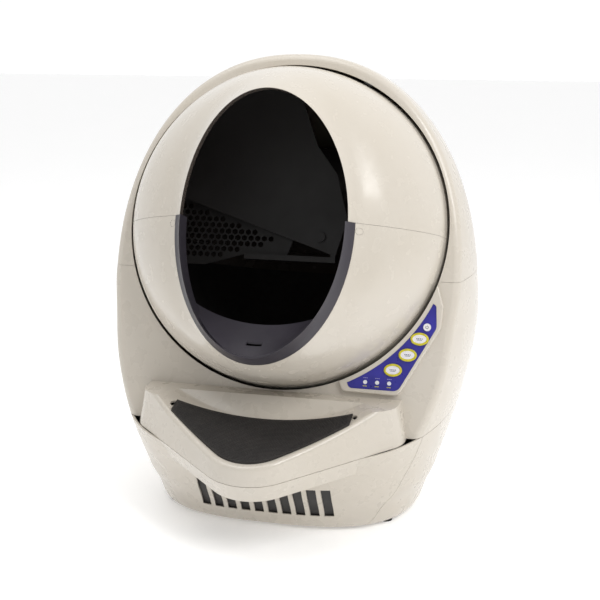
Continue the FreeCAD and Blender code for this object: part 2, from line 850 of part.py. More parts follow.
gearbox_out = -17.0
gearbox_length = 26.0
shaft_bore = primitive(
    "Cylinder", "gearbox_bore", pinion_place.multiply(at(0, 0, gearbox_out - gearbox_length + 4)),
    Radius="Dims.shaft_radius + Dims.running_clearance", Height="60")
gearbox_blank = primitive(
    "Cylinder", "gearbox_blank", pinion_place.multiply(at(0, 0, gearbox_out - gearbox_length)),
    Radius="Dims.motor_radius + 2", Height=str(gearbox_length))
node(cut("gearbox", gearbox_blank, shaft_bore))
node(primitive(
    "Cylinder", "gear_motor",
    pinion_place.multiply(Placement(Vector(0, 0, gearbox_out - gearbox_length),
                                    Rotation(Vector(1, 0, 0), 180))),
    Radius="Dims.motor_radius", Height="Dims.motor_length"))

deck_top = dim("deck_z") + dim("deck_thickness")
above_deck = level(deck_top, 600)


def make_motor_bracket():
    x = drive_distance * math.cos(pinion_angle)
    low = -GLOBE_BACK + gearbox_out
    shape = block(x - 24, -340, low, x + 13, -158, low + 3)
    shape = shape.cut(Part.makeCylinder(dim("track_flange_radius") + 3, 60, Vector(0, 0, low - 20)))
    centre = Vector(x, drive_distance * math.sin(pinion_angle), low - 5)
    shape = shape.cut(Part.makeCylinder(dim("shaft_radius") + 1.5, 20, centre))
    return placed(shape, RING).common(above_deck)


node(shape_part("motor_bracket", make_motor_bracket()))

# Four rollers carry the globe's rails, each on an axle held by a bracket on the deck.
roller_distance = dim("track_flange_radius") + dim("roller_gap") + dim("roller_radius")
EAR = 3.0
axle_shapes = []


def make_roller_bracket(x, up, out):
    inner = dim("roller_width") / 2 + 1
    shapes = []
    for low in (out + inner, out - inner - EAR):
        ear = block(x - 8, -340, low, x + 8, up + 5, low + EAR)
        shapes.append(placed(ear, RING).common(above_deck))
    foot_up = (deck_top - dim("ring_centre_z") - out * math.sin(TILT)) / math.cos(TILT)
    foot = RING.multVec(Vector(x, foot_up, out))
    shapes.append(block(x - 12, foot.y - 14, deck_top, x + 12, foot.y + 14, deck_top + 3))
    whole = shapes[0].fuse(shapes[1:])
    bore = Part.makeCylinder(dim("axle_radius"), 40, Vector(x, up, out - 20))
    return whole.cut(placed(bore, RING)).removeSplitter()


for side, word in ((-1, "left"), (1, "right")):
    for fore, place_word in ((1, "front"), (-1, "rear")):
        angle = math.radians(dim("roller_angle_deg"))
        x = side * roller_distance * math.cos(angle)
        up = roller_distance * math.sin(angle)
        out = -GLOBE_BACK + fore * flange_offset
        node(lathe_body(
            f"roller_{place_word}_{word}", in_ring(x, up, out), "Dims.roller_radius",
            "Dims.axle_radius + Dims.running_clearance", "Dims.roller_width"))
        node(shape_part(f"roller_bracket_{place_word}_{word}", make_roller_bracket(x, up, out)))
        length = dim("roller_width") + 2 + 2 * EAR
        axle = Part.makeCylinder(dim("axle_radius"), length, Vector(x, up, out - length / 2))
        axle_shapes.append(placed(axle, RING))
node(shape_part("roller_axles", Part.makeCompound(axle_shapes)))


def make_deck():
    form = base_form(WALL + FIT, floor_z).common(level(dim("deck_z"), deck_top))
    form = form.common(block(-FAR, dim("drawer_face_y") + 1, 0, FAR, FAR, FAR))
    return form.cut(block(-110, -40, 0, 110, 150, FAR))


node(shape_part("deck", make_deck()))

# ---------------------------------------------------------------- drawer

tray_side = dim("tray_half_width")
tray_front = dim("drawer_face_y") - dim("drawer_gap")
tray_wall = dim("tray_wall")


def make_tray():
    outer = block(-tray_side, tray_front, dim("tray_bottom_z"), tray_side,
                  dim("tray_back_y"), dim("tray_top_z"))
    corners = [edge for edge in outer.Edges
               if edge.BoundBox.ZLength > 50 and edge.BoundBox.YMin > 0]
    outer = outer.makeFillet(30, corners)
    inner = block(-tray_side + tray_wall, tray_front + tray_wall,
                  dim("tray_bottom_z") + tray_wall, tray_side - tray_wall,
                  dim("tray_back_y") - tray_wall, FAR)
    corners = [edge for edge in inner.Edges
               if edge.BoundBox.ZLength > 50 and edge.BoundBox.YMin > 0]
    return outer.cut(inner.makeFillet(30 - tray_wall, corners))


def make_bag_frame():
    low = dim("tray_top_z")
    outer = block(-tray_side, tray_front + 1, low, tray_side, dim("tray_back_y"), low + 5)
    inner = block(-tray_side + 14, tray_front + 15, low - 1, tray_side - 14,
                  dim("tray_back_y") - 14, low + 6)
    rims = [edge for edge in outer.Edges if edge.BoundBox.ZLength > 4 and edge.BoundBox.YMin > 0]
    return outer.makeFillet(30, rims).cut(inner)


node(shape_part("drawer_tray", make_tray()))
node(shape_part("bag_frame", make_bag_frame()))

FILTER_HALF = 70.0
filter_front = tray_front - 27
node(primitive("Box", "carbon_filter", at(-FILTER_HALF, filter_front, 26),
               Length=str(2 * FILTER_HALF), Width="11", Height="56"))
holder = block(-FILTER_HALF - 6, filter_front + 1, 20, FILTER_HALF + 6, tray_front, 88)
holder = holder.cut(block(-FILTER_HALF - FIT, -FAR, 26 - FIT, FILTER_HALF + FIT,
                          filter_front + 11 + FIT, 82 + FIT))
holder = holder.cut(block(-FILTER_HALF + 8, -FAR, 34, FILTER_HALF - 8, 0, 74))
node(shape_part("filter_holder", holder))


def make_vent_screen():
    """A thin dark sheet that follows the inside of the drawer front, behind the vents."""
    zone = block(-118, -FAR, dim("vent_bottom_z") - 6, 118, dim("drawer_face_y") - 16,
                 dim("vent_top_z") + 5)
    front = base_form(WALL + 2 * FIT, floor_z).common(zone)
    return front.cut(moved(front, 0, 1.5, 0))


node(shape_part("vent_screen", make_vent_screen()))

# ---------------------------------------------------------------- step mat


def make_mat():
    low = tread_cylinder(FIT)
    high = tread_cylinder(FIT + dim("mat_thickness"))
    outline = placed(
        Part.Face(step_outline(dim("mat_inset"), -50)).extrude(Vector(0, 0, 200)), SPLIT)
    side = dim("mat_half_width")
    outline = outline.common(block(-side, -FAR, 0, side, dim("mat_back_y"), FAR))
    return outline.common(low.cut(high))


node(shape_part("step_mat", make_mat()))

# ---------------------------------------------------------------- control panel


def rounded_plate(corners, low, high):
    """A plate in the ring's frame from corners (x, up, rounding radius)."""
    edges = []
    count = len(corners)
    starts = []
    ends = []
    for index, (x, up, radius) in enumerate(corners):
        point = Vector(x, up, low)
        before = Vector(*corners[index - 1][:2], low) - point
        after = Vector(*corners[(index + 1) % count][:2], low) - point
        reach = radius / math.tan(before.getAngle(after) / 2)
        before.normalize()
        after.normalize()
        bisector = before + after
        bisector.normalize()
        middle = point + bisector * (math.hypot(reach, radius) - radius)
        starts.append(point + before * reach)
        ends.append(point + after * reach)
        edges.append(Part.Arc(starts[-1], middle, ends[-1]).toShape())
    for index in range(count):
        edges.append(Part.makeLine(ends[index], starts[(index + 1) % count]))
    wire = Part.Wire(Part.__sortEdges__(edges))
    return Part.Face(wire).extrude(Vector(0, 0, high - low))


PANEL_CORNERS = [(240, -109, 5), (251.5, -115, 6), (254, -150, 16), (200, -251.5, 13),
                 (123, -251.5, 7), (117, -237, 4)]
BEZEL_CORNERS = [(244, -84, 1), (252, -84, 1.5), (262.5, -116, 16), (260.5, -150, 16),
                 (200.5, -259, 15), (112, -257.5, 9), (105, -240, 5)]
ring_edge = dim("ring_opening_radius")


def grown(corners, margin):
    """The panel's corners moved away from its middle, roughly by a margin."""
    middle_x = sum(corner[0] for corner in corners) / len(corners)
    middle_up = sum(corner[1] for corner in corners) / len(corners)
    result = []
    for x, up, radius in corners:
        length = math.hypot(x - middle_x, up - middle_up)
        factor = 1 + margin / length
        result.append((middle_x + (x - middle_x) * factor, middle_up + (up - middle_up) * factor,
                       radius + margin / 2))
    return result


panel_height = dim("panel_height")
overlay_top = panel_height - dim("overlay_depth")
overlay_low = overlay_top - dim("overlay_thickness")

BUTTONS = (
    ("button_power", 239.4, -149.3, 6, 6),
    ("button_cycle", 229.0, -168.3, 14, 9.8),
    ("button_empty", 212.0, -194.2, 14, 9.8),
    ("button_reset", 190.6, -219.2, 14, 9.8),
)
BUTTON_TURN = 2                    # degrees between the ovals' long axis and the X axis
LIGHTS = ((148.3, -240.6), (167.2, -240.4), (186.1, -240.3))


def button_prism(x, up, side, tall, low, high):
    if side == tall:
        return Part.makeCylinder(side, high - low, Vector(x, up, low))
    ellipse = Part.Ellipse(Vector(side, 0, 0), Vector(0, tall, 0), Vector(0, 0, 0))
    face = Part.Face(Part.Wire(ellipse.toShape()))
    shape = face.extrude(Vector(0, 0, high - low))
    shape.rotate(Vector(), Vector(0, 0, 1), BUTTON_TURN)
    shape.translate(Vector(x, up, low))
    return shape


def button_holes(shape):
    clearance = dim("button_clearance")
    for name, x, up, side, tall in BUTTONS:
        shape = shape.cut(button_prism(x, up, side + clearance, tall + clearance, -20, 40))
    return shape


def outside_ring(radius):
    return Part.makeCylinder(radius, 80, Vector(0, 0, -40))


def make_bezel():
    outer = rounded_plate(BEZEL_CORNERS, 0, panel_height)
    top_edges = [edge for edge in outer.Edges if edge.BoundBox.ZMin > panel_height - 0.01]
    outer = outer.makeFillet(2.5, top_edges)
    outer = outer.cut(outside_ring(ring_edge + 1))
    pocket = rounded_plate(grown(PANEL_CORNERS, FIT), overlay_low, panel_height + 1)
    pocket = pocket.cut(outside_ring(dim("overlay_radius") - FIT))
    return button_holes(outer.cut(pocket))


def make_overlay():
    sheet_form = rounded_plate(PANEL_CORNERS, overlay_low, overlay_top)
    return button_holes(sheet_form.cut(outside_ring(dim("overlay_radius"))))


def make_button(x, up, side, tall):
    travel = dim("button_travel")
    low = -WALL - 4
    high = overlay_top + dim("button_proud")
    stem = button_prism(x, up, side, tall, low, high)
    crown = [edge for edge in stem.Edges if edge.BoundBox.ZMin > high - 0.01]
    flange = button_prism(x, up, side + 2, tall + 2, low, -WALL - FIT)
    assert travel < dim("button_proud")
    return stem.makeFillet(0.9, crown).fuse(flange)


lights = [Part.makeCylinder(3.2, 0.8, Vector(x, up, overlay_top)) for x, up in LIGHTS]
hole_blocks = [
    placed(button_prism(x, up, side + FIT, tall + FIT, -WALL - 2, 2), RING)
    for name, x, up, side, tall in BUTTONS
]
upper_base = doc.getObject("upper_base")
upper_base.Shape = upper_base.Shape.cut(hole_blocks)

node(shape_part("panel_bezel", make_bezel(), RING))
node(shape_part("panel_overlay", make_overlay(), RING))
node(shape_part("status_lights", Part.makeCompound(lights), RING))
for name, x, up, side, tall in BUTTONS:
    node(shape_part(name, make_button(x, up, side, tall), RING))

BOARD_DEPTH = -WALL - 10
board = block(-48, -13, BOARD_DEPTH, 48, 13, BOARD_DEPTH + 1.6)
for x in (-44, 30.6):
    board = board.fuse(Part.makeCylinder(
        3, -WALL - FIT - BOARD_DEPTH - 1, Vector(x, -10, BOARD_DEPTH + 1)))
board.rotate(Vector(), Vector(0, 0, 1), 48)
board.translate(Vector(208, -200, 0))
node(shape_part("control_board", board, RING))

# ---------------------------------------------------------------- feet, sensors, inlet

feet = []
cells = []
for side in (-1, 1):
    for y in (dim("foot_front_y"), dim("foot_rear_y")):
        x = side * dim("foot_inset_x")
        if y > 0:
            x = side * (dim("foot_inset_x") - 14)
        feet.append(Part.makeCylinder(dim("foot_radius"), floor_z, Vector(x, y, 0)))
        middle = x - side * 12
        cells.append(block(middle - 5, y - 16, floor_z + WALL,
                           middle + 5, y + 16, floor_z + WALL + 6))
node(shape_part("rubber_feet", Part.makeCompound(feet)))
node(shape_part("weight_sensors", Part.makeCompound(cells)))

inlet = inlet_cylinder(INLET_RADIUS, 22, 0).cut(inlet_cylinder(3.2, 12, 1))
node(shape_part("power_inlet", inlet))

# Small dark pads on the bonnet's opening keep the turning globe centred.
pads = []
for angle_deg in (63, 117):
    pad = block(-7, dim("ring_opening_radius") - 2.6, -WALL, 7,
                dim("ring_opening_radius") - 0.2, 0.6)
    pad.rotate(Vector(), Vector(0, 0, 1), angle_deg - 90)
    pads.append(pad)
node(shape_part("ring_pads", Part.makeCompound(pads), RING))

# ---------------------------------------------------------------- checks and files

doc.recompute()
for obj in doc.Objects:
    if "Invalid" in obj.State or "Error" in obj.State:
        raise RuntimeError(f"{obj.Label} failed: {obj.State}")
for obj in nodes:
    shape = obj.Shape
    if shape.isNull() or not shape.isValid() or not shape.Solids:
        raise RuntimeError(f"{obj.Label} has no valid solid")
    shape.exportStep(os.path.join("parts", obj.Label + ".step"))
print(len(nodes), "sub-parts written")
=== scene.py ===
"""Looks of a globe-type self-cleaning cat litter box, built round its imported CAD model."""
import json
import math

import bmesh
import bpy
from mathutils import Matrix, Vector
from mathutils.bvhtree import BVHTree


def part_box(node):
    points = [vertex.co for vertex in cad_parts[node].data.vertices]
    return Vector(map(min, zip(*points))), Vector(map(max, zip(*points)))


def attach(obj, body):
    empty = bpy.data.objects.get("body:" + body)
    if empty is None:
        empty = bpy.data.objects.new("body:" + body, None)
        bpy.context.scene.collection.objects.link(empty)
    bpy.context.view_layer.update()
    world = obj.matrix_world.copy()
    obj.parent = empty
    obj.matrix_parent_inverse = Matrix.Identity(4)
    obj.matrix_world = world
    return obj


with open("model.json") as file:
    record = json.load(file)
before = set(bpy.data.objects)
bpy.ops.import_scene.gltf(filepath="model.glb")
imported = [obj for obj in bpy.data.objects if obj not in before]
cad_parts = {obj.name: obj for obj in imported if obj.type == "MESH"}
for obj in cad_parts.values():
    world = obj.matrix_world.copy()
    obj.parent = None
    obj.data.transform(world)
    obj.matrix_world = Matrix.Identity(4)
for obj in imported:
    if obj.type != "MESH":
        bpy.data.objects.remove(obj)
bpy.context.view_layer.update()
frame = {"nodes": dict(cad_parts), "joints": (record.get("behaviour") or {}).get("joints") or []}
nodes = frame["nodes"]
MM = 0.001

# ---------------------------------------------------------------- the entry ring's own frame

GLOBE_BACK = 74.3   # millimetres from the ring's face back to the globe's centre

globe_spin = next(joint for joint in frame["joints"] if joint["name"] == "globe_spin")
AXIS_X = Vector((1, 0, 0))
AXIS_OUT = Vector(globe_spin["axis"])
AXIS_UP = AXIS_OUT.cross(AXIS_X)
RING_CENTRE = Vector(globe_spin["pos_m"]) + AXIS_OUT * GLOBE_BACK * MM


def ring_point(x, up, out):
    """A point given in millimetres across, up and out of the ring face."""
    return RING_CENTRE + (AXIS_X * x + AXIS_UP * up + AXIS_OUT * out) * MM


def ring_span(node):
    """Lowest and highest (x, up, out) of a CAD node in the ring's frame, in millimetres."""
    points = [v.co - RING_CENTRE for v in nodes[node].data.vertices]
    spans = [[p.dot(axis) / MM for p in points] for axis in (AXIS_X, AXIS_UP, AXIS_OUT)]
    return [min(s) for s in spans], [max(s) for s in spans]


# ---------------------------------------------------------------- materials

def srgb(red, green, blue):
    """A linear colour from channels of 0 to 255 as a screen shows them."""
    def channel(value):
        value /= 255
        return value / 12.92 if value <= 0.04045 else ((value + 0.055) / 1.055) ** 2.4
    return channel(red), channel(green), channel(blue), 1.0


class Finish:
    """A node material: colour, roughness and bump come from noise in object space."""

    def __init__(self, name):
        self.material = bpy.data.materials.new(name)
        self.material.use_nodes = True
        self.tree = self.material.node_tree
        self.tree.nodes.clear()
        self.output = self.tree.nodes.new("ShaderNodeOutputMaterial")
        self.shader = self.tree.nodes.new("ShaderNodeBsdfPrincipled")
        self.tree.links.new(self.shader.outputs[0], self.output.inputs[0])
        self.coords = self.tree.nodes.new("ShaderNodeTexCoord").outputs["Object"]
        self.height = None

    def link(self, source, target):
        self.tree.links.new(source, target)

    def stretched(self, scale):
        mapping = self.tree.nodes.new("ShaderNodeMapping")
        mapping.inputs["Scale"].default_value = scale
        self.link(self.coords, mapping.inputs["Vector"])
        return mapping.outputs["Vector"]

    def noise(self, scale, detail=3.0, vector=None, distortion=0.0):
        node = self.tree.nodes.new("ShaderNodeTexNoise")
        node.inputs["Scale"].default_value = scale
        node.inputs["Detail"].default_value = detail
        node.inputs["Distortion"].default_value = distortion
        self.link(vector or self.coords, node.inputs["Vector"])
        return node.outputs["Fac"]

    def cells(self, scale, feature="F1"):
        node = self.tree.nodes.new("ShaderNodeTexVoronoi")
        node.feature = feature
        node.inputs["Scale"].default_value = scale
        self.link(self.coords, node.inputs["Vector"])
        return node.outputs["Distance"]

    def remap(self, source, low, high, out_low=0.0, out_high=1.0):
        node = self.tree.nodes.new("ShaderNodeMapRange")
        node.inputs["From Min"].default_value = low
        node.inputs["From Max"].default_value = high
        node.inputs["To Min"].default_value = out_low
        node.inputs["To Max"].default_value = out_high
        self.link(source, node.inputs["Value"])
        return node.outputs["Result"]

    def combine(self, kind, first, second):
        node = self.tree.nodes.new("ShaderNodeMath")
        node.operation = kind
        for socket, value in zip(node.inputs, (first, second)):
            if isinstance(value, (int, float)):
                socket.default_value = value
            else:
                self.link(value, socket)
        return node.outputs[0]

    def mix(self, factor, first, second):
        node = self.tree.nodes.new("ShaderNodeMix")
        node.data_type = "RGBA"
        self.link(factor, node.inputs[0])
        for socket, value in zip((node.inputs[6], node.inputs[7]), (first, second)):
            if isinstance(value, tuple):
                socket.default_value = value
            else:
                self.link(value, socket)
        return node.outputs[2]

    def height_above_floor(self):
        split = self.tree.nodes.new("ShaderNodeSeparateXYZ")
        self.link(self.coords, split.inputs[0])
        return split.outputs["Z"]

    def facing(self, centre):
        """1 where a surface faces a point inside the piece, such as a shell's inner wall."""
        coordinates = self.tree.nodes.new("ShaderNodeTexCoord")
        away = self.tree.nodes.new("ShaderNodeVectorMath")
        away.operation = "SUBTRACT"
        self.link(coordinates.outputs["Object"], away.inputs[0])
        away.inputs[1].default_value = centre
        unit = self.tree.nodes.new("ShaderNodeVectorMath")
        unit.operation = "NORMALIZE"
        self.link(away.outputs["Vector"], unit.inputs[0])
        dot = self.tree.nodes.new("ShaderNodeVectorMath")
        dot.operation = "DOT_PRODUCT"
        self.link(unit.outputs["Vector"], dot.inputs[0])
        self.link(coordinates.outputs["Normal"], dot.inputs[1])
        return self.remap(dot.outputs["Value"], -0.3, -0.1, 1.0, 0.0)

    def colour(self, source):
        self.link(source, self.shader.inputs["Base Color"])

    def rough(self, source):
        self.link(source, self.shader.inputs["Roughness"])

    def bump(self, source, strength, distance):
        node = self.tree.nodes.new("ShaderNodeBump")
        node.inputs["Strength"].default_value = strength
        node.inputs["Distance"].default_value = distance
        self.link(source, node.inputs["Height"])
        if self.height is not None:
            self.link(self.height, node.inputs["Normal"])
        self.height = node.outputs[0]
        self.link(self.height, self.shader.inputs["Normal"])

    def set(self, **values):
        for name, value in values.items():
            self.shader.inputs[name.replace("_", " ")].default_value = value
        return self


LOW_DARKENING_TOP = 0.12                     # metres above the floor where the darkening ends
SCUFF_LOW, SCUFF_HIGH = 0.18, 0.30  # heights between which the scuffs fade


def darker(colour, factor):
    return tuple(channel * factor for channel in colour[:3]) + (1.0,)


def moulded_plastic(name, base, tone, rough_low, rough_high, coat=0.0, grain=600.0,
                    lining=None, centre=None):
    """Injection-moulded plastic: faint cloudiness, fine grain, light scuffs, darker in noisy
    patches low down.

    A lining colours the faces that look towards centre.
    """
    f = Finish(name)
    cloud = f.remap(f.noise(5.0, 4.0), 0.35, 0.65)
    body = f.mix(cloud, base, tone)
    # darker in noisy patches in the lowest 12 cm, fading out upwards from the floor
    patches = f.combine("MULTIPLY", f.remap(f.height_above_floor(), 0.0, LOW_DARKENING_TOP, 1.0, 0.0),
                     f.remap(f.noise(28.0, 6.0), 0.4, 0.75, 0.0, 0.22))
    body = f.mix(patches, body, darker(base, 0.78))
    scratch = f.noise(150.0, 5.0, f.stretched((1.0, 1.0, 9.0)), 0.6)
    scuffs = f.combine("MULTIPLY", f.remap(scratch, 0.68, 0.74, 0.0, 0.2),
                       f.remap(f.height_above_floor(), SCUFF_LOW, SCUFF_HIGH, 1.0, 0.1))
    light = tuple(min(1.0, c * 1.12) for c in base[:3]) + (1.0,)
    body = f.mix(scuffs, body, light)
    if lining is not None:
        deep = tuple(channel * 0.8 for channel in lining)
        body = f.mix(f.facing(centre), body, f.mix(cloud, lining, deep))
    f.colour(body)
    rough = f.remap(f.noise(38.0, 5.0), 0.3, 0.7, rough_low, rough_high)
    f.rough(f.combine("ADD", rough, f.combine("MULTIPLY", scuffs, 0.3)))
    f.bump(f.noise(grain, 2.0), 0.25, 0.00002)
    f.bump(f.noise(9.0, 1.0), 0.06, 0.0005)
    f.set(Coat_Weight=coat, Coat_Roughness=0.12, IOR=1.49)
    return f.material


def rubber(name, base, tone):
    """Matt rubber with a pebbled skin and a little pale dust."""
    f = Finish(name)
    patches = f.remap(f.noise(24.0, 6.0), 0.45, 0.8, 0.0, 0.6)
    f.colour(f.mix(patches, base, tone))
    f.rough(f.remap(f.noise(90.0, 4.0), 0.3, 0.7, 0.52, 0.74))
    f.bump(f.cells(1400.0), 0.3, 0.00012)
    f.bump(f.noise(200.0, 3.0), 0.2, 0.0001)
    f.set(IOR=1.46)
    return f.material


def make_steel():
    """Drawn steel, with fine lines along its length."""
    f = Finish("steel")
    lines = f.noise(220.0, 4.0, f.stretched((0.05, 1.0, 1.0)))
    f.colour(f.mix(lines, srgb(150, 150, 152), srgb(196, 196, 198)))
    f.rough(f.remap(lines, 0.3, 0.7, 0.22, 0.42))
    f.bump(lines, 0.2, 0.00004)
    f.set(Metallic=1.0)
    return f.material


def make_felt():
    """Loose dark fibres."""
    f = Finish("filter_felt")
    fibres = f.noise(700.0, 6.0, distortion=2.0)
    f.colour(f.mix(fibres, srgb(30, 30, 32), srgb(74, 74, 78)))
    f.rough(f.remap(fibres, 0.3, 0.7, 0.85, 1.0))
    f.bump(fibres, 0.8, 0.0006)
    f.set(Sheen_Weight=0.3)
    return f.material


def make_film():
    """Screen-printed film: deep blue, satin, with a faint stipple."""
    f = Finish("panel_blue")
    f.colour(f.mix(f.remap(f.noise(30.0, 5.0), 0.35, 0.65), srgb(40, 38, 132), srgb(50, 46, 150)))
    f.rough(f.remap(f.noise(120.0, 3.0), 0.3, 0.7, 0.26, 0.4))
    f.bump(f.cells(2600.0), 0.2, 0.00003)
    f.set(Coat_Weight=0.3, Coat_Roughness=0.2)
    return f.material


def printed(name, base, tone, rough):
    """Ink or smooth coloured plastic."""
    f = Finish(name)
    f.colour(f.mix(f.remap(f.noise(260.0, 4.0), 0.35, 0.65), base, tone))
    f.rough(f.remap(f.noise(400.0, 3.0), 0.3, 0.7, rough - 0.06, rough + 0.08))
    f.bump(f.noise(1800.0, 2.0), 0.15, 0.00002)
    return f.material


def make_board():
    """A circuit board: green lacquer with lighter tracks."""
    f = Finish("board_green")
    cells = f.cells(420.0, "DISTANCE_TO_EDGE")
    tracks = f.remap(cells, 0.02, 0.06, 1.0, 0.0)
    f.colour(f.mix(tracks, srgb(20, 78, 44), srgb(52, 128, 74)))
    f.rough(f.remap(f.noise(300.0, 3.0), 0.3, 0.7, 0.3, 0.45))
    f.bump(tracks, 0.4, 0.00003)
    return f.material


BODY, BODY_TONE = srgb(203, 196, 185), srgb(199, 191, 178)

FINISH = {
    "body_plastic": moulded_plastic("body_plastic", BODY, BODY_TONE, 0.24, 0.34, coat=0.25),
    "trim_plastic": moulded_plastic("trim_plastic", srgb(58, 54, 62), srgb(52, 49, 55),
                                    0.34, 0.46, grain=1200.0),
    "dark_plastic": moulded_plastic("dark_plastic", srgb(42, 39, 38), srgb(34, 32, 31),
                                    0.42, 0.56, grain=900.0),
    "inner_plastic": moulded_plastic("inner_plastic", srgb(96, 86, 79), srgb(88, 78, 71),
                                     0.42, 0.55, grain=1000.0),
    "gear_plastic": moulded_plastic("gear_plastic", srgb(66, 52, 42), srgb(56, 44, 36),
                                    0.38, 0.5, grain=900.0),
    "black_rubber": rubber("black_rubber", srgb(38, 35, 34), srgb(50, 46, 44)),
    "roller_rubber": rubber("roller_rubber", srgb(70, 68, 66), srgb(84, 80, 78)),
    "steel": make_steel(),
    "filter_felt": make_felt(),
    "panel_blue": make_film(),
    "light_lens": printed("light_lens", srgb(226, 226, 230), srgb(214, 216, 222), 0.22),
    "button_white": printed("button_white", srgb(232, 230, 232), srgb(222, 220, 224), 0.3),
    "board_green": make_board(),
}
RING_YELLOW = printed("ring_yellow", srgb(206, 196, 44), srgb(192, 178, 36), 0.35)
INK_DARK = printed("ink_dark", srgb(44, 62, 70), srgb(34, 48, 58), 0.4)
INK_YELLOW = printed("ink_yellow", srgb(190, 186, 70), srgb(178, 172, 60), 0.4)
INK_WHITE = printed("ink_white", srgb(150, 146, 190), srgb(136, 132, 178), 0.4)
GLOBE_SHELL = moulded_plastic("globe_shell", BODY, BODY_TONE, 0.2, 0.3, coat=0.35,
                              lining=srgb(84, 75, 69), centre=ring_point(0, 0, -GLOBE_BACK))

for label, node in nodes.items():
    for material_slot in node.material_slots:
        found = material_slot.material.name.split(".")[0]
        shell = label in ("globe_upper", "globe_lower")
        material_slot.material = GLOBE_SHELL if shell else FINISH[found]

# ---------------------------------------------------------------- building pieces

def piece(name, mesh, material, body):
    """A smooth-shaded object of one material, riding on a CAD body."""
    obj = bpy.data.objects.new(name, mesh)
    bpy.context.scene.collection.objects.link(obj)
    mesh.materials.append(material)
    for polygon in mesh.polygons:
        polygon.use_smooth = True
    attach(obj, body)
    return obj


def mesh_of(name, rows, capped=False):
    """A tube from equal closed rows of points, each row joined to the next."""
    bm = bmesh.new()
    made = [[bm.verts.new(p) for p in row] for row in rows]
    count = len(rows[0])
    for first, second in zip(made, made[1:]):
        for i in range(count):
            j = (i + 1) % count
            bm.faces.new((first[i], first[j], second[j], second[i]))
    if capped:
        bm.faces.new(list(reversed(made[0])))
        bm.faces.new(made[-1])
    bmesh.ops.recalc_face_normals(bm, faces=bm.faces)
    mesh = bpy.data.meshes.new(name)
    bm.to_mesh(mesh)
    bm.free()
    return mesh


def joined(name, meshes):
    """One mesh that holds all the given ones, which are removed."""
    bm = bmesh.new()
    for mesh in meshes:
        bm.from_mesh(mesh)
        bpy.data.meshes.remove(mesh)
    whole = bpy.data.meshes.new(name)
    bm.to_mesh(whole)
    bm.free()
    return whole


def plate(name, outline, low, high, bevel):
    """A thin plate with a rounded upper edge, in ring millimetres."""
    middle_x = sum(p[0] for p in outline) / len(outline)
    middle_up = sum(p[1] for p in outline) / len(outline)
    rows = []
    for shrink, out in ((0.0, low), (0.0, high - bevel), (0.3, high - 0.3 * bevel), (1.0, high)):
        row = []
        for x, up in outline:
            away = Vector((x - middle_x, up - middle_up))
            away = away * (1 - shrink * bevel / max(away.length, bevel * 1.01))
            row.append(ring_point(middle_x + away.x, middle_up + away.y, out))
        rows.append(row)
    return mesh_of(name, rows, capped=True)


OVAL_POINTS = 48
BAR_END_STEPS = 8


def turned(x, up, points, turn):
    """Points about the origin, turned and then moved to (x, up)."""
    c, s = math.cos(turn), math.sin(turn)
    return [(x + px * c - py * s, up + px * s + py * c) for px, py in points]


def oval(x, up, half_wide, half_tall, turn):
    """An ellipse-shaped outline."""
    angles = [2 * math.pi * i / OVAL_POINTS for i in range(OVAL_POINTS)]
    points = [(half_wide * math.cos(angle), half_tall * math.sin(angle)) for angle in angles]
    return turned(x, up, points, turn)


def bar(x, up, length, thick, turn=0.0):
    """A stadium-shaped outline."""
    points = []
    for end in (1, -1):
        for i in range(BAR_END_STEPS + 1):
            angle = -math.pi / 2 + math.pi * i / BAR_END_STEPS
            points.append((end * (length / 2 - thick / 2 + thick / 2 * math.cos(angle)),
                           end * thick / 2 * math.sin(angle)))
    return turned(x, up, points, turn)


# ---------------------------------------------------------------- the camera

scene = bpy.context.scene
camera_data = bpy.data.cameras.new("camera")
camera = bpy.data.objects.new("camera", camera_data)
scene.collection.objects.link(camera)
AZIMUTH, ELEVATION = math.radians(13.58), math.radians(14.15)
backwards = Vector((math.sin(AZIMUTH) * math.cos(ELEVATION),
                    -math.cos(AZIMUTH) * math.cos(ELEVATION),
                    math.sin(ELEVATION)))
camera.location = (0.4528, -1.8450, 0.8095)
camera.rotation_mode = "QUATERNION"
camera.rotation_quaternion = (-backwards).to_track_quat("-Z", "Y")
camera_data.lens = 69.3
camera_data.sensor_width = 36.0
camera_data.clip_start, camera_data.clip_end = 0.05, 60.0
scene.camera = camera

# ---------------------------------------------------------------- step mat ribs

RIB_SECTION = ((-1, 0), (-0.55, 0.8), (0, 1.3), (0.55, 0.8), (1, 0))  # half widths, heights


def points_across(tree, y, low, high, step):
    """Points a step apart in x, from left to right, where a line straight down meets a top face."""
    above = 0.02
    upward = 0.5
    points = []
    x = low.x
    while x <= high.x:
        place, normal, _, _ = tree.ray_cast(Vector((x, y, high.z + above)), Vector((0, 0, -1)))
        if place is not None and normal.z > upward:
            points.append(place)
        x += step
    return points


def rib(points, shift):
    """A row of low nubs along the points, which fades out at both ends."""
    half_width, rise, sunk = 0.0013, 0.0011, 0.0003
    nub_length = 5      # in points
    fade_length = 4     # in points
    rows = []
    for i, point in enumerate(points):
        nub = 0.72 + 0.28 * math.cos(2 * math.pi * (i + shift) / nub_length)
        fade = min(1.0, (i + 1) / fade_length, (len(points) - i) / fade_length)
        top = rise * nub * fade
        rows.append([point + Vector((0, across * half_width, height * top - sunk))
                     for across, height in RIB_SECTION])
    return mesh_of("rib", rows, capped=True)


